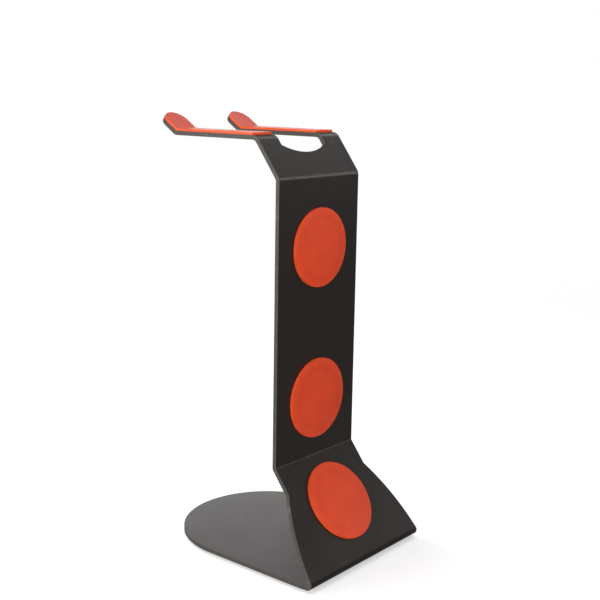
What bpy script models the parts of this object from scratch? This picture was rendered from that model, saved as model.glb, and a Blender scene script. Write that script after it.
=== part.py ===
"""Hair dryer holder: one folded metal sheet with silicone pads, mounting tapes and rubber feet.

Run with blender --background --python part.py, or from Blender's text editor. Units are metres, +Z is up.
X runs across the holder, the front, where the attachments hang, faces -Y, and the base lies on the feet.

The sheet is made the way a press shop makes it: the outline is cut as a flat blank, which is then folded.
On the blank, x is the distance from the centre line and u is the distance along the sheet: from the back edge
of the base forward to the front fold, up the front, and back along the shelf to the tips of its two prongs.
The face side is the underside of the base, the front of the panels and the top of the shelf. Depth is measured
from the face side into the sheet, so what is stuck on the face side has a negative depth.
"""

import math

import bmesh
import bpy
from mathutils import Matrix, Vector

MM = 0.001

# Sheet and its outline
SHEET = 3.0 * MM
BASE_HALF = 61.5 * MM         # half the base's width, and the radius of its round back end
PANEL_HALF = 42.0 * MM        # half the width of the upright, the neck and the shelf
SLOT_HALF = 22.8 * MM         # half the width of the slot that the dryer's handle hangs in
SLOT_SAG = 6.3 * MM           # how far the closed end of the slot dips, as a shallow arc
SLOT_DEPTH = 14.4 * MM        # from the top corner down the neck to the lowest point of the slot
KINK_UP = 64.8 * MM           # from the front corner up the foot panel to where it starts to widen
FLARE_END = 20.0 * MM         # from the front corner back along the base to where the widening ends
PRONG_REACH = 20.0 * MM       # from the lip corner up the lip to the tip of a prong

# Sharp corners of the folded face side as (y, z), in order along the blank, with the base's underside at z = 0
CORNERS = (
    (156.0 * MM, 0.0),            # back edge of the base
    (0.0, 0.0),                   # front corner
    (51.4 * MM, 66.5 * MM),       # lower corner
    (51.4 * MM, 261.0 * MM),      # upper corner
    (71.2 * MM, 287.5 * MM),      # top corner
    (145.6 * MM, 287.5 * MM),     # lip corner
)
LIP_ANGLE = math.radians(33.0)
FOLD_RADII = (3.8 * MM, 1.2 * MM, 6.0 * MM, 7.0 * MM, 3.0 * MM)    # on the face side, from the front corner on
BASE, FOOT_PANEL, UPRIGHT, NECK, SHELF, LIP = range(6)

# What is stuck on the face side
CLEARANCE = 0.3 * MM          # left between pieces that rest on each other
TAPE = 0.3 * MM
TAPE_POCKET = 2 * CLEARANCE + TAPE
TAPE_INSET = 1.5 * MM         # from a pad's edge in to the edge of the pocket for its tape
SHELF_PAD = 1.6 * MM          # height above the sheet
SHELF_PAD_INSET = 0.3 * MM    # from the sheet's edge in to the pad's edge
DISC_PAD = 2.0 * MM
DISC_RADIUS = 28.0 * MM
UPPER_DISC_RADIUS = 27.0 * MM
UPPER_DISC_Z = 212.6 * MM
MIDDLE_DISC_Z = 107.6 * MM
LOWER_DISC_UP = 47.8 * MM     # from the front corner up the foot panel
FOOT = 2.0 * MM
FOOT_RADIUS = 7.0 * MM
FRONT_FOOT = (46.0 * MM, 24.0 * MM)     # x and y of its middle
BACK_FOOT = (32.0 * MM, 132.0 * MM)

EDGE_ROUND = 0.4 * MM
ARC_STEP = math.radians(7.5)
ROUND_STEPS = 48
WELD = 0.000001

COAT = ("powder_coat", (0.020, 0.019, 0.018), 0.45)
SILICONE = ("orange_silicone", (0.87, 0.075, 0.020), 0.38)
TAPE_FILM = ("mounting_tape", (0.55, 0.55, 0.52), 0.6)
RUBBER = ("foot_rubber", (0.015, 0.015, 0.015), 0.85)


class FoldedSheet:
    """The folded profile. It turns a place u along the blank and a depth into y and z."""

    def __init__(self):
        self.corners = [Vector(corner) for corner in CORNERS]
        self.directions = [(b - a).normalized() for a, b in zip(self.corners, self.corners[1:])]
        self.directions.append(Vector((math.cos(LIP_ANGLE), math.sin(LIP_ANGLE))))
        self.flats = []
        self.bends = []
        u, start = 0.0, self.corners[0]
        for index, radius in enumerate(FOLD_RADII):
            before, after = self.directions[index:index + 2]
            corner = self.corners[index + 1]
            turn = math.atan2(before.cross(after), before.dot(after))
            setback = radius * math.tan(abs(turn) / 2)
            entry = corner - before * setback
            # A turn to the right, towards the sheet's back, puts the face side on the outside of the fold
            side = 1 if turn < 0 else -1
            centre = entry + self.into_sheet(before) * radius * side
            self.flats.append((u, start, (entry - start).length))
            u += (entry - start).length
            bend_length = abs(turn) * (radius - side * SHEET / 2)
            self.bends.append((u, entry, centre, turn, bend_length))
            u += bend_length
            start = corner + after * setback
        self.flats.append((u, start, math.inf))

    @staticmethod
    def into_sheet(direction):
        return Vector((direction.y, -direction.x))

    def place(self, u, depth):
        for index, (begin, start, length) in enumerate(self.flats):
            direction = self.directions[index]
            inward = self.into_sheet(direction)
            if u <= begin + length + WELD:
                return start + direction * (u - begin) + inward * depth
            begin, entry, centre, turn, length = self.bends[index]
            if u < begin + length:
                spoke = entry + inward * depth - centre
                return centre + Matrix.Rotation(turn * (u - begin) / length, 2) @ spoke

    def fold_lines(self):
        """Each u where the blank needs an edge across it, so that its folds come out round."""
        for begin, _, _, turn, length in self.bends:
            steps = math.ceil(abs(turn) / ARC_STEP)
            yield from (begin + length * step / steps for step in range(steps + 1))

    def along(self, flat, distance):
        """u at a distance along a flat from the sharp corner where the flat begins."""
        begin, start, _ = self.flats[flat]
        return begin + distance - (start - self.corners[flat]).length


SHEET_FOLD = FoldedSheet()
KINK_U = SHEET_FOLD.along(FOOT_PANEL, KINK_UP)
FLARE_U = CORNERS[0][0] - FLARE_END
SLOT_U = SHEET_FOLD.along(NECK, (SHEET_FOLD.corners[SHELF] - SHEET_FOLD.corners[NECK]).length - SLOT_DEPTH)
PAD_START_U = SHEET_FOLD.flats[SHELF][0]
TIP_U = SHEET_FOLD.along(LIP, PRONG_REACH)
PRONG_MIDDLE = (PANEL_HALF + SLOT_HALF) / 2
PRONG_HALF = (PANEL_HALF - SLOT_HALF) / 2


def arc(centre_x, centre_u, radius, start, end):
    """Points along an arc, both ends included. Angles are in radians from +x towards +u."""
    steps = math.ceil(abs(end - start) / ARC_STEP)
    angles = (start + (end - start) * step / steps for step in range(steps + 1))
    return [(centre_x + radius * math.cos(angle), centre_u + radius * math.sin(angle)) for angle in angles]


def circle_radius(half_chord, rise):
    return (half_chord ** 2 + rise ** 2) / (2 * rise)


def blank_outline():
    """The blank's outline: its +x half from the back of the base to the slot, then the same mirrored."""
    half = arc(0, BASE_HALF, BASE_HALF, -math.pi / 2, 0)
    flare_length = KINK_U - FLARE_U
    flare_radius = circle_radius(flare_length, BASE_HALF - PANEL_HALF)
    half += arc(BASE_HALF - flare_radius, FLARE_U, flare_radius, 0, math.asin(flare_length / flare_radius))
    half += arc(PRONG_MIDDLE, TIP_U - PRONG_HALF, PRONG_HALF, 0, math.pi)
    slot_radius = circle_radius(SLOT_HALF, SLOT_SAG)
    slot_swing = math.asin(SLOT_HALF / slot_radius)
    half += arc(0, SLOT_U + slot_radius, slot_radius, slot_swing - math.pi / 2, -math.pi / 2)
    return half + [(-x, u) for x, u in reversed(half[1:-1])]


def prong_outline(side, inset):
    """Outline of a strip on one prong, from the top fold to the tip, inset from the sheet's edges."""
    half_width = PRONG_HALF - inset
    middle = side * PRONG_MIDDLE
    front = PAD_START_U + inset
    tip = arc(middle, TIP_U - PRONG_HALF, half_width, 0, math.pi)
    return [(middle - half_width, front), (middle + half_width, front)] + tip


def material(name, colour, roughness):
    made = bpy.data.materials.get(name)
    if made is None:
        made = bpy.data.materials.new(name)
        made.use_nodes = True
        shader = made.node_tree.nodes["Principled BSDF"]
        shader.inputs["Base Color"].default_value = (*colour, 1)
        shader.inputs["Roughness"].default_value = roughness
        made.diffuse_color = (*colour, 1)
    return made


def add_object(name, mesh, finish, collection=None):
    made = bpy.data.objects.new(name, mesh)
    mesh.materials.append(material(*finish))
    (collection or PARTS).objects.link(made)
    made.parent = ROOT
    return made


def flat_blank(outline, thickness):
    """A closed mesh of the outline, half of its thickness on each side of z = 0."""
    curve = bpy.data.curves.new("blank", "CURVE")
    curve.dimensions = "2D"
    curve.fill_mode = "BOTH"
    curve.extrude = thickness / 2
    spline = curve.splines.new("POLY")
    spline.points.add(len(outline) - 1)
    for point, (x, u) in zip(spline.points, outline):
        point.co = (x, u, 0, 1)
    spline.use_cyclic_u = True
    guide = bpy.data.objects.new("blank", curve)
    bpy.context.scene.collection.objects.link(guide)
    evaluated = guide.evaluated_get(bpy.context.evaluated_depsgraph_get())
    mesh = bpy.data.meshes.new_from_object(evaluated)
    bpy.data.objects.remove(guide)
    bpy.data.curves.remove(curve)
    return mesh


def folded(name, outline, face, back, finish, collection=None):
    """A solid cut to an outline on the blank, between two depths, and folded with the sheet."""
    thickness = back - face
    mesh = flat_blank(outline, thickness)
    work = bmesh.new()
    work.from_mesh(mesh)
    bmesh.ops.remove_doubles(work, verts=work.verts, dist=WELD)
    for u in SHEET_FOLD.fold_lines():
        whole = work.verts[:] + work.edges[:] + work.faces[:]
        bmesh.ops.bisect_plane(work, geom=whole, dist=WELD, plane_co=(0, u, 0), plane_no=(0, 1, 0))
    for vertex in work.verts:
        y, z = SHEET_FOLD.place(vertex.co.y, face + thickness / 2 - vertex.co.z)
        vertex.co = (vertex.co.x, y, z)
    # The fill leaves triangles on the flats, which join here into one face for each flat and fold strip
    bmesh.ops.dissolve_limit(work, angle_limit=math.radians(0.5), verts=work.verts, edges=work.edges)
    bmesh.ops.recalc_face_normals(work, faces=work.faces)
    work.to_mesh(mesh)
    work.free()
    mesh.set_sharp_from_angle(angle=math.radians(30))
    return add_object(name, mesh, finish, collection)


def round_edges(target, width):
    bevel = target.modifiers.new("edge_round", "BEVEL")
    bevel.width = width
    bevel.segments = 1
    bevel.limit_method = "ANGLE"
    bevel.angle_limit = math.radians(50)


def cut(target, cutter):
    cutter.hide_render = True
    cutter.display_type = "WIRE"
    boolean = target.modifiers.new("cut", "BOOLEAN")
    boolean.operation = "DIFFERENCE"
    boolean.solver = "EXACT"
    boolean.object = cutter


def turned(name, profile, finish):
    """A solid of revolution about Z, from a profile of (radius, height) that runs down its outer side."""
    mesh = bpy.data.meshes.new(name)
    points = [(radius, 0, height) for radius, height in profile]
    mesh.from_pydata(points, [(i, i + 1) for i in range(len(points) - 1)], [])
    made = add_object(name, mesh, finish)
    screw = made.modifiers.new("turn", "SCREW")
    screw.steps = ROUND_STEPS
    screw.render_steps = ROUND_STEPS
    screw.use_merge_vertices = True
    screw.merge_threshold = WELD
    return made


def on_face(made, x, u):
    """Put a turned piece on the face side, with its own +Z pointing away from the sheet."""
    y, z = SHEET_FOLD.place(u, 0)
    outward = SHEET_FOLD.place(u, -SHEET) - SHEET_FOLD.place(u, 0)
    made.location = (x, y, z)
    made.rotation_euler = (math.atan2(-outward.x, outward.y), 0, 0)


def round_pad(name, x, u, radius, height, finish):
    """A round pad on the face side, with a pocket underneath for its tape, and the tape."""
    pocket = radius - TAPE_INSET
    profile = (
        (0, height),
        (radius - EDGE_ROUND, height),
        (radius, height - EDGE_ROUND),
        (radius, CLEARANCE),
        (pocket, CLEARANCE),
        (pocket, TAPE_POCKET),
        (0, TAPE_POCKET),
    )
    on_face(turned(name, profile, finish), x, u)
    tape_radius = pocket - CLEARANCE
    tape = ((0, CLEARANCE + TAPE), (tape_radius, CLEARANCE + TAPE), (tape_radius, CLEARANCE), (0, CLEARANCE))
    on_face(turned(name + "_tape", tape, TAPE_FILM), x, u)


def stand_frame():
    frame = folded("stand_frame", blank_outline(), 0, SHEET, COAT)
    round_edges(frame, EDGE_ROUND)


def shelf_pads():
    for side, label in ((-1, "left"), (1, "right")):
        name = f"shelf_pad_{label}"
        pad = folded(name, prong_outline(side, SHELF_PAD_INSET), -SHELF_PAD, -CLEARANCE, SILICONE)
        pocket_inset = SHELF_PAD_INSET + TAPE_INSET
        pocket = folded(name + "_pocket", prong_outline(side, pocket_inset), -TAPE_POCKET, 0, TAPE_FILM, CUTTERS)
        cut(pad, pocket)
        tape_outline = prong_outline(side, pocket_inset + CLEARANCE)
        folded(name + "_tape", tape_outline, -CLEARANCE - TAPE, -CLEARANCE, TAPE_FILM)


def disc_pads():
    lower_z = CORNERS[UPRIGHT][1]
    upper_u = SHEET_FOLD.along(UPRIGHT, UPPER_DISC_Z - lower_z)
    middle_u = SHEET_FOLD.along(UPRIGHT, MIDDLE_DISC_Z - lower_z)
    lower_u = SHEET_FOLD.along(FOOT_PANEL, LOWER_DISC_UP)
    round_pad("upper_disc_pad", 0, upper_u, UPPER_DISC_RADIUS, DISC_PAD, SILICONE)
    round_pad("middle_disc_pad", 0, middle_u, DISC_RADIUS, DISC_PAD, SILICONE)
    round_pad("lower_disc_pad", 0, lower_u, DISC_RADIUS, DISC_PAD, SILICONE)


def feet():
    for row, (x, y) in (("front", FRONT_FOOT), ("back", BACK_FOOT)):
        for side, label in ((-1, "left"), (1, "right")):
            round_pad(f"foot_{row}_{label}", side * x, CORNERS[0][0] - y, FOOT_RADIUS, FOOT, RUBBER)


def centre_over_origin():
    """Move the empty that carries every part, so that the origin is the middle of the bounding box's floor."""
    graph = bpy.context.evaluated_depsgraph_get()
    corners = []
    for part in PARTS.objects:
        if part.type == "MESH":
            evaluated = part.evaluated_get(graph)
            corners += [evaluated.matrix_world @ vertex.co for vertex in evaluated.data.vertices]
    low_y, high_y = min(c.y for c in corners), max(c.y for c in corners)
    ROOT.location = (0, -(low_y + high_y) / 2, -min(c.z for c in corners))


for old in list(bpy.data.objects):
    bpy.data.objects.remove(old)

PARTS = bpy.data.collections.new("hair_dryer_holder")
CUTTERS = bpy.data.collections.new("cutters")
bpy.context.scene.collection.children.link(PARTS)
bpy.context.scene.collection.children.link(CUTTERS)
ROOT = bpy.data.objects.new("holder_root", None)
PARTS.objects.link(ROOT)

stand_frame()
shelf_pads()
disc_pads()
feet()
centre_over_origin()
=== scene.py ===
"""Looks of the hair dryer holder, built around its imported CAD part.

The sheet, the pads, the discs and the feet are made again at a finer step than the CAD solids, in the same
places, and each takes a procedural material. The tapes are covered by the pads and feet, so they aren't made
again. Units are metres, +Z is up, the front of the holder faces -Y, and "left" is -X.
"""

import math

import bmesh
import bpy
from mathutils import Matrix, Quaternion, Vector

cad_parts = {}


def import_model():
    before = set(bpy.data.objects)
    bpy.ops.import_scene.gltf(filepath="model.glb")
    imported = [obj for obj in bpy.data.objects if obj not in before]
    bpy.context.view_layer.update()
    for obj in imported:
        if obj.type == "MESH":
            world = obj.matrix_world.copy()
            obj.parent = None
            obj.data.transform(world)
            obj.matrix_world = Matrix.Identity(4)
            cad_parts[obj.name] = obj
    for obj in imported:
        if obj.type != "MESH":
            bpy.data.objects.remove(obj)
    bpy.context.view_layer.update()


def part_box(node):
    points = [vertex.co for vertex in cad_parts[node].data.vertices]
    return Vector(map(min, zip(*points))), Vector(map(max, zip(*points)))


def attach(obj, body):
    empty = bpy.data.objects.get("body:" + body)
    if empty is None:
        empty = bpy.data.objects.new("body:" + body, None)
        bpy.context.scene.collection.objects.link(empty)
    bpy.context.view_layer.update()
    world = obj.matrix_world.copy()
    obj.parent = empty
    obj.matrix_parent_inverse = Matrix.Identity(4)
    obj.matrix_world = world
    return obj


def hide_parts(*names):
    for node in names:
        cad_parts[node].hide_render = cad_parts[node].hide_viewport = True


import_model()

MM = 0.001

# The sheet and its outline, as in the CAD part
SHEET = 3.0 * MM
BASE_HALF = 61.5 * MM
PANEL_HALF = 42.0 * MM
SLOT_HALF = 22.8 * MM
SLOT_SAG = 6.3 * MM
SLOT_DEPTH = 14.4 * MM
KINK_UP = 64.8 * MM
FLARE_END = 20.0 * MM
PRONG_REACH = 19.7 * MM       # 0.3 mm less than in the CAD part, so that the finer tips stay inside its box

# Sharp corners of the folded face side as (y, z), from the base's back edge to the lip
CORNERS = (
    (156.0 * MM, 0.0),
    (0.0, 0.0),
    (51.4 * MM, 66.5 * MM),
    (51.4 * MM, 261.0 * MM),
    (71.2 * MM, 287.5 * MM),
    (145.6 * MM, 287.5 * MM),
)
LIP_ANGLE = math.radians(33.0)
FOLD_RADII = (3.8 * MM, 1.2 * MM, 6.0 * MM, 7.0 * MM, 3.0 * MM)
BASE, FOOT_PANEL, UPRIGHT, NECK, SHELF, LIP = range(6)

# Silicone and rubber
SHELF_PAD = 1.6 * MM
SHELF_PAD_INSET = 0.3 * MM
DISC_PAD = 2.0 * MM
RUB_RADIUS = 21.0 * MM        # where an attachment's rim rubs a disc
FOOT = 2.0 * MM
FOOT_DISH = 0.5 * MM          # depth of the hollow in a foot's tread
SEAT = 0.02 * MM              # hairline left between pieces that touch

ARRIS = 0.5 * MM              # rounding of the sheet's cut edges under the coat
SOFT_EDGE = 0.3 * MM          # rounding of the silicone and the feet
EDGE_SEGMENTS = 4
SHARP_EDGE = math.radians(50)  # edges whose faces meet at more than this are rounded
ARC_STEP = math.radians(2.5)
TURN_STEPS = 128
ROUND_STEPS = 5
WELD = 0.000001

# Camera
CAMERA_AT = (-0.5604, -0.4793, 0.3229)
LOOKS_AT = (0.0, -0.0164, 0.1760)
CAMERA_ROLL = math.radians(0.95)
LENS = 64.44
SENSOR = 36

# Studio. Each softbox has a name, what it is aimed at, its azimuth and elevation from there in degrees, its
# distance, width and height in metres, the spread of its grid in degrees, and its watts.
FLOOR_EDGE = 2.2
FLOOR_FADE = (0.25, 1.3)      # where the floor starts to clear, and where it is gone
FLOOR_SEEN = 0.90
FLOOR_BOUNCE = 0.30
FLOOR_GLOW = 0.44
WORLD_LIGHT = 0.12
BODY = (0.0, 0.0, 0.14)
NECK_AT = (0.0, -0.025, 0.270)
LIPS_AT = (0.0, 0.070, 0.295)
FOLD_AT = (0.0, -0.032, 0.262)
SOFTBOXES = (
    ("key_back_left", BODY, 150, 5, 1.6, 1.0, 0.5, 180, 15),
    ("rim_left", BODY, 192, 6, 1.6, 0.5, 0.5, 180, 9),
    ("front_left", BODY, 240, 6, 1.6, 0.7, 0.5, 180, 11),
    ("back_right", BODY, 45, 10, 1.6, 0.7, 0.7, 180, 3.5),
    ("back_high", BODY, 100, 32, 1.6, 0.9, 0.6, 180, 9),
    ("under", BODY, 60, -50, 1.6, 1.0, 1.0, 180, 7),
    ("top", BODY, 0, 88, 1.5, 1.2, 1.2, 180, 8),
    ("strip_front_right", BODY, 321, 15, 1.3, 0.9, 0.10, 180, 0.9),
    ("grid_on_neck", NECK_AT, 332, 24, 0.6, 0.22, 0.16, 36, 0.009),
    ("grid_on_fold", FOLD_AT, 321, 14, 0.6, 0.20, 0.05, 30, 0.010),
    ("grid_on_lips", LIPS_AT, 0, 40, 0.8, 0.35, 0.35, 36, 0.06),
)


class FoldedSheet:
    """The folded profile. It turns a place u along the flat blank and a depth into y and z."""

    def __init__(self):
        self.corners = [Vector(corner) for corner in CORNERS]
        self.directions = [(b - a).normalized() for a, b in zip(self.corners, self.corners[1:])]
        self.directions.append(Vector((math.cos(LIP_ANGLE), math.sin(LIP_ANGLE))))
        self.flats = []
        self.bends = []
        u, start = 0.0, self.corners[0]
        for index, radius in enumerate(FOLD_RADII):
            before, after = self.directions[index:index + 2]
            corner = self.corners[index + 1]
            turn = math.atan2(before.cross(after), before.dot(after))
            setback = radius * math.tan(abs(turn) / 2)
            entry = corner - before * setback
            side = 1 if turn < 0 else -1
            centre = entry + self.into_sheet(before) * radius * side
            self.flats.append((u, start, (entry - start).length))
            u += (entry - start).length
            bend_length = abs(turn) * (radius - side * SHEET / 2)
            self.bends.append((u, entry, centre, turn, bend_length))
            u += bend_length
            start = corner + after * setback
        self.flats.append((u, start, math.inf))
        # The CAD sheet's box says where the front fold and the base's underside are
        low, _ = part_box("stand_frame")
        foremost = self.bends[0][2].x - FOLD_RADII[0]
        self.shift = Vector((low[1] - foremost, low[2]))

    @staticmethod
    def into_sheet(direction):
        return Vector((direction.y, -direction.x))

    def place(self, u, depth):
        for index, (begin, start, length) in enumerate(self.flats):
            direction = self.directions[index]
            inward = self.into_sheet(direction)
            if u <= begin + length + WELD:
                return self.shift + start + direction * (u - begin) + inward * depth
            begin, entry, centre, turn, length = self.bends[index]
            if u < begin + length:
                spoke = entry + inward * depth - centre
                return self.shift + centre + Matrix.Rotation(turn * (u - begin) / length, 2) @ spoke

    def fold_lines(self):
        for begin, _, _, turn, length in self.bends:
            steps = math.ceil(abs(turn) / ARC_STEP)
            yield from (begin + length * step / steps for step in range(steps + 1))

    def along(self, flat, distance):
        """u at a distance along a flat from the sharp corner where the flat begins."""
        begin, start, _ = self.flats[flat]
        return begin + distance - (start - self.corners[flat]).length

    def nearest(self, flat, y, z):
        """u on a flat beside a point."""
        begin, start, _ = self.flats[flat]
        return begin + (Vector((y, z)) - self.shift - start).dot(self.directions[flat])


SHEET_FOLD = FoldedSheet()
KINK_U = SHEET_FOLD.along(FOOT_PANEL, KINK_UP)
FLARE_U = CORNERS[0][0] - FLARE_END
SLOT_U = SHEET_FOLD.along(NECK, (SHEET_FOLD.corners[SHELF] - SHEET_FOLD.corners[NECK]).length - SLOT_DEPTH)
PAD_START_U = SHEET_FOLD.flats[SHELF][0]
TIP_U = SHEET_FOLD.along(LIP, PRONG_REACH)
PRONG_MIDDLE = (PANEL_HALF + SLOT_HALF) / 2
PRONG_HALF = (PANEL_HALF - SLOT_HALF) / 2


# ---------------------------------------------------------------- materials

# A colour mix has sockets of one name for several data types, so they are told apart by number
MIX_FIRST, MIX_SECOND, MIX_RESULT = 6, 7, 2


class Nodes:
    """A material's node tree, with short calls to add and join nodes."""

    def __init__(self, name, roughness=0.5):
        self.material = bpy.data.materials.new(name)
        self.material.use_nodes = True
        self.tree = self.material.node_tree
        self.shader = self.tree.nodes["Principled BSDF"]
        self.shader.inputs["Roughness"].default_value = roughness
        self.place = self.add("ShaderNodeTexCoord").outputs["Object"]

    def add(self, kind, **settings):
        node = self.tree.nodes.new(kind)
        for key, value in settings.items():
            setattr(node, key, value)
        return node

    def join(self, output, target):
        self.tree.links.new(output, target)

    def noise(self, scale, detail=2.0, roughness=0.5):
        node = self.add("ShaderNodeTexNoise")
        self.join(self.place, node.inputs["Vector"])
        node.inputs["Scale"].default_value = scale
        node.inputs["Detail"].default_value = detail
        node.inputs["Roughness"].default_value = roughness
        return node.outputs["Fac"]

    def span(self, value, low, high, to_low, to_high, smooth=False):
        node = self.add("ShaderNodeMapRange")
        node.interpolation_type = "SMOOTHSTEP" if smooth else "LINEAR"
        self.join(value, node.inputs["Value"])
        node.inputs["From Min"].default_value = low
        node.inputs["From Max"].default_value = high
        node.inputs["To Min"].default_value = to_low
        node.inputs["To Max"].default_value = to_high
        return node.outputs["Result"]

    def maths(self, operation, *values):
        node = self.add("ShaderNodeMath", operation=operation)
        for index, value in enumerate(values):
            if isinstance(value, (int, float)):
                node.inputs[index].default_value = value
            else:
                self.join(value, node.inputs[index])
        return node.outputs["Value"]

    def blend(self, factor, first, second):
        node = self.add("ShaderNodeMix", data_type="RGBA")
        self.join(factor, node.inputs["Factor"])
        for socket, value in ((node.inputs[MIX_FIRST], first), (node.inputs[MIX_SECOND], second)):
            if isinstance(value, tuple):
                socket.default_value = (*value, 1)
            else:
                self.join(value, socket)
        return node.outputs[MIX_RESULT]

    def bump(self, height, distance, strength=1.0, below=None):
        node = self.add("ShaderNodeBump")
        node.inputs["Distance"].default_value = distance
        node.inputs["Strength"].default_value = strength
        self.join(height, node.inputs["Height"])
        if below is not None:
            self.join(below, node.inputs["Normal"])
        return node.outputs["Normal"]

    def finish(self, colour, roughness, normal):
        self.join(colour, self.shader.inputs["Base Color"])
        self.join(roughness, self.shader.inputs["Roughness"])
        self.join(normal, self.shader.inputs["Normal"])
        return self.material


def powder_coat(name, base, worn, wear, shine):
    """Warm black powder coat: a cured grain, cloudy gloss and small lighter flecks.

    wear lets more of the worn colour through, and shine is the strength of its highlight.
    """
    nodes = Nodes(name)
    clouds = nodes.noise(28, 3)
    peel = nodes.noise(700, 2)
    grain = nodes.noise(2600, 2, 0.6)
    flecks = nodes.span(nodes.noise(1500, 1), 0.66, 0.74, 0, 1)
    tone = nodes.blend(nodes.span(clouds, 0.3, 0.7, 0, 1), base, tuple(0.86 * channel for channel in base))
    tone = nodes.blend(nodes.maths("MULTIPLY", flecks, 0.35), tone, tuple(2.4 * channel for channel in base))
    rubbed = nodes.span(nodes.noise(95, 4, 0.62), 0.62 - wear, 0.80 - wear, 0, 1, smooth=True)
    tone = nodes.blend(rubbed, tone, worn)
    gloss = nodes.span(clouds, 0.3, 0.7, 0.37, 0.41)
    gloss = nodes.maths("ADD", gloss, nodes.span(grain, 0.3, 0.7, -0.03, 0.03))
    gloss = nodes.maths("SUBTRACT", gloss, nodes.maths("MULTIPLY", rubbed, 0.06))
    normal = nodes.bump(peel, 0.05 * MM, 0.55)
    normal = nodes.bump(grain, 0.03 * MM, 0.6, below=normal)
    nodes.shader.inputs["Specular IOR Level"].default_value = shine
    nodes.shader.inputs["Specular Tint"].default_value = (1.0, 0.92, 0.88, 1)
    return nodes.finish(tone, gloss, normal)


def silicone(name, base, shine, rub_radius=None):
    """Moulded orange silicone with a fine matt grain, rubbed smoother in a ring where rub_radius is given."""
    nodes = Nodes(name)
    clouds = nodes.noise(60, 3)
    grain = nodes.noise(2200, 2, 0.6)
    mould = nodes.noise(420, 2)
    tone = nodes.blend(nodes.span(clouds, 0.3, 0.7, 0, 1), base, tuple(0.9 * channel for channel in base))
    dust = nodes.span(nodes.noise(1900, 1), 0.70, 0.78, 0, 0.22)
    tone = nodes.blend(dust, tone, (0.90, 0.30, 0.19))
    gloss = nodes.span(clouds, 0.3, 0.7, 0.40, 0.48)
    gloss = nodes.maths("ADD", gloss, nodes.span(grain, 0.3, 0.7, -0.04, 0.04))
    if rub_radius is not None:
        away = nodes.add("ShaderNodeVectorMath", operation="LENGTH")
        nodes.join(nodes.place, away.inputs[0])
        off_ring = nodes.maths("ABSOLUTE", nodes.maths("SUBTRACT", away.outputs["Value"], rub_radius))
        ring = nodes.span(off_ring, 0.6 * MM, 3.2 * MM, 1, 0, smooth=True)
        patchy = nodes.maths("MULTIPLY", ring, nodes.span(nodes.noise(170, 3), 0.35, 0.65, 0.3, 1))
        gloss = nodes.maths("SUBTRACT", gloss, nodes.maths("MULTIPLY", patchy, 0.10))
        tone = nodes.blend(nodes.maths("MULTIPLY", patchy, 0.35), tone, (0.70, 0.045, 0.013))
    normal = nodes.bump(mould, 0.04 * MM, 0.4)
    normal = nodes.bump(grain, 0.02 * MM, 0.5, below=normal)
    nodes.shader.inputs["Specular IOR Level"].default_value = shine
    nodes.shader.inputs["Subsurface Weight"].default_value = 0.12
    nodes.shader.inputs["Subsurface Radius"].default_value = (1.0, 0.25, 0.10)
    nodes.shader.inputs["Subsurface Scale"].default_value = 1.2 * MM
    return nodes.finish(tone, gloss, normal)


def foot_rubber():
    nodes = Nodes("foot_rubber_black")
    grain = nodes.noise(1800, 3, 0.65)
    scuffs = nodes.span(nodes.noise(260, 3), 0.55, 0.72, 0, 1, smooth=True)
    tone = nodes.blend(scuffs, (0.013, 0.013, 0.013), (0.045, 0.043, 0.040))
    gloss = nodes.span(grain, 0.3, 0.7, 0.72, 0.90)
    return nodes.finish(tone, gloss, nodes.bump(grain, 0.05 * MM, 0.6))


COAT = powder_coat("powder_coat_face", (0.0170, 0.0138, 0.0122), (0.036, 0.031, 0.028), 0.0, 0.42)
# The cut edge and arris coats are much lighter than the face coat: painted light where the side faces catch
# the lamps, and a painted highlight along the rounded arrises, where it is lightest
COAT_EDGE_PAINTED_LIGHT = powder_coat("powder_coat_cut_edge_painted_light", (0.080, 0.073, 0.066), (0.135, 0.125, 0.113), 0.06, 0.12)
COAT_ARRIS_PAINTED_HIGHLIGHT = powder_coat("powder_coat_arris_painted_highlight", (0.140, 0.129, 0.117), (0.270, 0.252, 0.232), 0.12, 0.20)
# One silicone in three colours: the pad face is paler and pinker, a painted whitish sheen, and the side copy
# is brighter and more saturated, painted light on the sides of pads and discs
PAD_SILICONE_PAINTED_SHEEN = silicone("orange_silicone_pad_painted_sheen", (0.820, 0.110, 0.062), 0.50)
DISC_SILICONE = silicone("orange_silicone_disc", (0.880, 0.078, 0.022), 0.34, rub_radius=RUB_RADIUS)
SIDE_SILICONE_PAINTED_LIGHT = silicone("orange_silicone_side_painted_light", (0.960, 0.110, 0.024), 0.12)
FOOT_RUBBER = foot_rubber()


# ---------------------------------------------------------------- shapes

def arc(centre_x, centre_u, radius, start, end):
    steps = math.ceil(abs(end - start) / ARC_STEP)
    angles = (start + (end - start) * step / steps for step in range(steps + 1))
    return [(centre_x + radius * math.cos(angle), centre_u + radius * math.sin(angle)) for angle in angles]


def circle_radius(half_chord, rise):
    return (half_chord ** 2 + rise ** 2) / (2 * rise)


def blank_outline():
    half = arc(0, BASE_HALF, BASE_HALF, -math.pi / 2, 0)
    flare_length = KINK_U - FLARE_U
    flare_radius = circle_radius(flare_length, BASE_HALF - PANEL_HALF)
    half += arc(BASE_HALF - flare_radius, FLARE_U, flare_radius, 0, math.asin(flare_length / flare_radius))
    half += arc(PRONG_MIDDLE, TIP_U - PRONG_HALF, PRONG_HALF, 0, math.pi)
    slot_radius = circle_radius(SLOT_HALF, SLOT_SAG)
    slot_swing = math.asin(SLOT_HALF / slot_radius)
    half += arc(0, SLOT_U + slot_radius, slot_radius, slot_swing - math.pi / 2, -math.pi / 2)
    return half + [(-x, u) for x, u in reversed(half[1:-1])]


def prong_outline(side, inset):
    half_width = PRONG_HALF - inset
    middle = side * PRONG_MIDDLE
    front = PAD_START_U + inset
    tip = arc(middle, TIP_U - PRONG_HALF, half_width, 0, math.pi)
    return [(middle - half_width, front), (middle + half_width, front)] + tip


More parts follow.
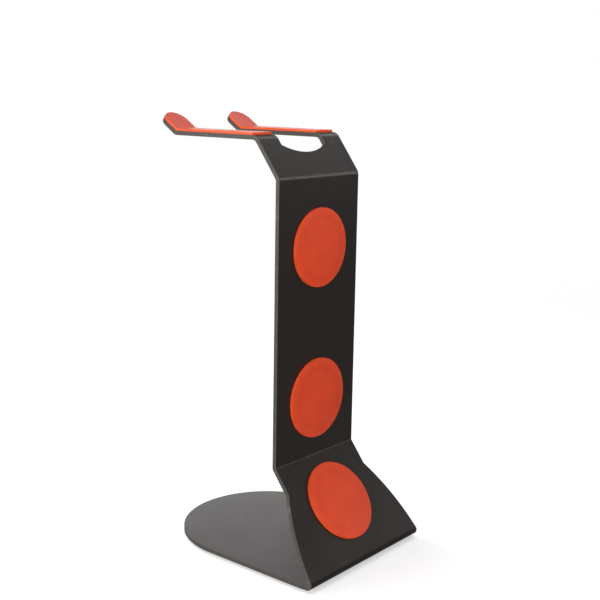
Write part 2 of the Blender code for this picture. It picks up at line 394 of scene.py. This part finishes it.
def flat_blank(outline, thickness):
    curve = bpy.data.curves.new("blank", "CURVE")
    curve.dimensions = "2D"
    curve.fill_mode = "BOTH"
    curve.extrude = thickness / 2
    spline = curve.splines.new("POLY")
    spline.points.add(len(outline) - 1)
    for point, (x, u) in zip(spline.points, outline):
        point.co = (x, u, 0, 1)
    spline.use_cyclic_u = True
    guide = bpy.data.objects.new("blank", curve)
    bpy.context.scene.collection.objects.link(guide)
    evaluated = guide.evaluated_get(bpy.context.evaluated_depsgraph_get())
    mesh = bpy.data.meshes.new_from_object(evaluated)
    bpy.data.objects.remove(guide)
    bpy.data.curves.remove(curve)
    return mesh


def folded(name, outline, face, back, materials, arris):
    """A solid cut to an outline on the blank, between two depths, folded with the sheet, its edges rounded.

    materials are for the faces, the cut edge and the rounded arrises. The tight valley above the foot panel
    takes the cut edge's lighter material, a painted highlight line along the fold.
    """
    thickness = back - face
    mesh = flat_blank(outline, thickness)
    work = bmesh.new()
    work.from_mesh(mesh)
    bmesh.ops.remove_doubles(work, verts=work.verts, dist=WELD)
    for u in SHEET_FOLD.fold_lines():
        whole = work.verts[:] + work.edges[:] + work.faces[:]
        bmesh.ops.bisect_plane(work, geom=whole, dist=WELD, plane_co=(0, u, 0), plane_no=(0, 1, 0))
    valley_begin, _, _, _, valley_length = SHEET_FOLD.bends[FOOT_PANEL]
    for each in work.faces:
        heights = [vertex.co.z for vertex in each.verts]
        is_cut = max(heights) - min(heights) > thickness / 2
        u = each.calc_center_median().y
        # The valley's faces take the lighter cut-edge material: a painted highlight line along the fold
        valley_painted_highlight = min(heights) > 0 and valley_begin < u < valley_begin + valley_length
        each.material_index = int(is_cut or valley_painted_highlight)
    for vertex in work.verts:
        y, z = SHEET_FOLD.place(vertex.co.y, face + thickness / 2 - vertex.co.z)
        vertex.co = (vertex.co.x, y, z)
    # The fill leaves triangles on the flats, which join here into one face for each flat and fold strip
    bmesh.ops.dissolve_limit(
        work, angle_limit=math.radians(0.5), verts=work.verts, edges=work.edges, delimit={"MATERIAL"}
    )
    bmesh.ops.recalc_face_normals(work, faces=work.faces)
    for each in work.faces:
        each.smooth = True
    mesh.clear_geometry()
    work.to_mesh(mesh)
    work.free()
    made = bpy.data.objects.new(name, mesh)
    bpy.context.scene.collection.objects.link(made)
    for finish in materials:
        mesh.materials.append(finish)
    bevel = made.modifiers.new("arris", "BEVEL")
    bevel.width = arris
    bevel.segments = EDGE_SEGMENTS
    bevel.limit_method = "ANGLE"
    bevel.angle_limit = SHARP_EDGE
    bevel.material = len(materials) - 1
    weighted = made.modifiers.new("flat_shading", "WEIGHTED_NORMAL")
    weighted.weight = 100
    return made


def turned(name, profile, finishes):
    """A solid of revolution about its own Z. Its profile of (radius, height) begins and ends on the axis.

    finishes are for the flat faces and for the rim.
    """
    work = bmesh.new()
    rings = []
    for radius, height in profile:
        if radius == 0:
            rings.append([work.verts.new((0, 0, height))])
        else:
            ring = []
            for step in range(TURN_STEPS):
                angle = 2 * math.pi * step / TURN_STEPS
                ring.append(work.verts.new((radius * math.cos(angle), radius * math.sin(angle), height)))
            rings.append(ring)
    for upper, lower in zip(rings, rings[1:]):
        for step in range(TURN_STEPS):
            after = (step + 1) % TURN_STEPS
            corners = [upper[step % len(upper)], lower[step % len(lower)]]
            if len(lower) > 1:
                corners.append(lower[after])
            if len(upper) > 1:
                corners.append(upper[after])
            work.faces.new(corners)
    bmesh.ops.recalc_face_normals(work, faces=work.faces)
    for each in work.faces:
        each.smooth = True
        each.material_index = int(abs(each.normal.z) < 0.3)
    mesh = bpy.data.meshes.new(name)
    work.to_mesh(mesh)
    work.free()
    for finish in finishes:
        mesh.materials.append(finish)
    mesh.set_sharp_from_angle(angle=math.radians(40))
    made = bpy.data.objects.new(name, mesh)
    bpy.context.scene.collection.objects.link(made)
    return made


def rounded(radius, height, rounding):
    """Profile points round the outer top edge of a disc."""
    points = []
    for step in range(ROUND_STEPS + 1):
        angle = math.pi / 2 * (1 - step / ROUND_STEPS)
        across, up = rounding * math.cos(angle), rounding * math.sin(angle)
        points.append((radius - rounding + across, height - rounding + up))
    return points


def on_face(made, x, u):
    """Put a turned piece on the face side, with its own +Z pointing away from the sheet."""
    y, z = SHEET_FOLD.place(u, -SEAT)
    outward = SHEET_FOLD.place(u, -SHEET) - SHEET_FOLD.place(u, 0)
    tilt = Matrix.Rotation(math.atan2(-outward.x, outward.y), 4, "X")
    made.matrix_world = Matrix.Translation((x, y, z)) @ tilt


def settle(piece, slot, *nodes):
    """Ride on the holder's one body, instead of the CAD nodes. slot is not used."""
    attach(piece, "root")
    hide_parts(*nodes)


def stand_frame():
    sheet = folded("sheet_frame", blank_outline(), 0, SHEET, (COAT, COAT_EDGE_PAINTED_LIGHT, COAT_ARRIS_PAINTED_HIGHLIGHT), ARRIS)
    settle(sheet, "powder_coat", "stand_frame")


def shelf_pads():
    for side, label in ((-1, "left"), (1, "right")):
        node = f"shelf_pad_{label}"
        outline = prong_outline(side, SHELF_PAD_INSET)
        finishes = (PAD_SILICONE_PAINTED_SHEEN, SIDE_SILICONE_PAINTED_LIGHT, SIDE_SILICONE_PAINTED_LIGHT)
        pad = folded(f"{label}_shelf_silicone", outline, -SHELF_PAD, -SEAT, finishes, SOFT_EDGE)
        settle(pad, "orange_silicone", node, node + "_tape")


def disc(node, flat, finishes, slot, thickness, profile):
    low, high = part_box(node)
    middle = (Vector(low) + Vector(high)) / 2
    piece = turned(node + "_round", profile((high[0] - low[0]) / 2, thickness), finishes)
    on_face(piece, middle.x, SHEET_FOLD.nearest(flat, middle.y, middle.z))
    settle(piece, slot, node, node + "_tape")


def pad_profile(radius, height):
    return [(0, height), (radius * 0.5, height)] + rounded(radius, height, SOFT_EDGE) + [(radius, 0), (0, 0)]


def foot_profile(radius, height):
    dish = [(0, height - FOOT_DISH), (radius * 0.45, height - FOOT_DISH), (radius * 0.62, height)]
    return dish + rounded(radius, height, SOFT_EDGE) + [(radius, 0), (0, 0)]


def discs_and_feet():
    finishes = (DISC_SILICONE, SIDE_SILICONE_PAINTED_LIGHT)
    for place, flat in (("upper", UPRIGHT), ("middle", UPRIGHT), ("lower", FOOT_PANEL)):
        disc(f"{place}_disc_pad", flat, finishes, "orange_silicone", DISC_PAD - SEAT, pad_profile)
    for row in ("front", "back"):
        for label in ("left", "right"):
            disc(f"foot_{row}_{label}", BASE, (FOOT_RUBBER,) * 2, "foot_rubber", FOOT - SEAT, foot_profile)


# ---------------------------------------------------------------- stage, light and camera

def floor():
    """A pale floor that fades into the pale surroundings.

    It lights the holder from below less than it shows, and the softbox under it shines through it.
    """
    mesh = bpy.data.meshes.new("floor")
    work = bmesh.new()
    bmesh.ops.create_circle(work, cap_ends=True, segments=96, radius=FLOOR_EDGE)
    work.to_mesh(mesh)
    work.free()
    made = bpy.data.objects.new("floor", mesh)
    bpy.context.scene.collection.objects.link(made)
    nodes = Nodes("floor_pale", 0.9)
    ray = nodes.add("ShaderNodeLightPath")
    seen = ray.outputs["Is Camera Ray"]
    nodes.join(nodes.blend(seen, (FLOOR_BOUNCE,) * 3, (FLOOR_SEEN,) * 3), nodes.shader.inputs["Base Color"])
    nodes.shader.inputs["Specular IOR Level"].default_value = 0.0
    nodes.shader.inputs["Emission Color"].default_value = (1, 1, 1, 1)
    nodes.join(nodes.maths("MULTIPLY", seen, FLOOR_GLOW), nodes.shader.inputs["Emission Strength"])
    away = nodes.add("ShaderNodeVectorMath", operation="LENGTH")
    nodes.join(nodes.place, away.inputs[0])
    fade = nodes.span(away.outputs["Value"], *FLOOR_FADE, 0, 1, smooth=True)
    below = nodes.add("ShaderNodeNewGeometry").outputs["Backfacing"]
    clear = nodes.maths("MAXIMUM", nodes.maths("MAXIMUM", fade, below), ray.outputs["Is Shadow Ray"])
    nodes.join(nodes.maths("SUBTRACT", 1.0, clear), nodes.shader.inputs["Alpha"])
    mesh.materials.append(nodes.material)


def world():
    """White to look at, and dim as a light, so that the softboxes shape the dark coat."""
    made = bpy.data.worlds.new("studio")
    bpy.context.scene.world = made
    made.use_nodes = True
    tree = made.node_tree
    background = tree.nodes["Background"]
    seen = tree.nodes.new("ShaderNodeLightPath").outputs["Is Camera Ray"]
    strength = tree.nodes.new("ShaderNodeMapRange")
    strength.inputs["To Min"].default_value = WORLD_LIGHT
    strength.inputs["To Max"].default_value = 1.0
    tree.links.new(seen, strength.inputs["Value"])
    tree.links.new(strength.outputs["Result"], background.inputs["Strength"])
    background.inputs["Color"].default_value = (1, 1, 1, 1)


def softbox(name, aim, azimuth, elevation, distance, width, height, spread, watts):
    light = bpy.data.lights.new(name, "AREA")
    light.shape = "RECTANGLE"
    light.size = width
    light.size_y = height
    light.spread = math.radians(spread)
    light.energy = watts
    made = bpy.data.objects.new(name, light)
    bpy.context.scene.collection.objects.link(made)
    turn, rise = math.radians(azimuth), math.radians(elevation)
    away = Vector((math.cos(turn) * math.cos(rise), math.sin(turn) * math.cos(rise), math.sin(rise)))
    made.location = Vector(aim) + away * distance
    made.rotation_euler = away.to_track_quat("Z", "Y").to_euler()
    made.visible_camera = False


def camera():
    lens = bpy.data.cameras.new("camera")
    lens.lens = LENS
    lens.sensor_width = SENSOR
    lens.clip_start = 0.02
    made = bpy.data.objects.new("camera", lens)
    bpy.context.scene.collection.objects.link(made)
    made.location = CAMERA_AT
    aim = (Vector(LOOKS_AT) - Vector(CAMERA_AT)).to_track_quat("-Z", "Y")
    made.rotation_mode = "QUATERNION"
    made.rotation_quaternion = aim @ Quaternion((0, 0, 1), CAMERA_ROLL)
    bpy.context.scene.camera = made


stand_frame()
shelf_pads()
discs_and_feet()
floor()
world()
for box in SOFTBOXES:
    softbox(*box)
camera()
bpy.context.scene.view_settings.view_transform = "Standard"
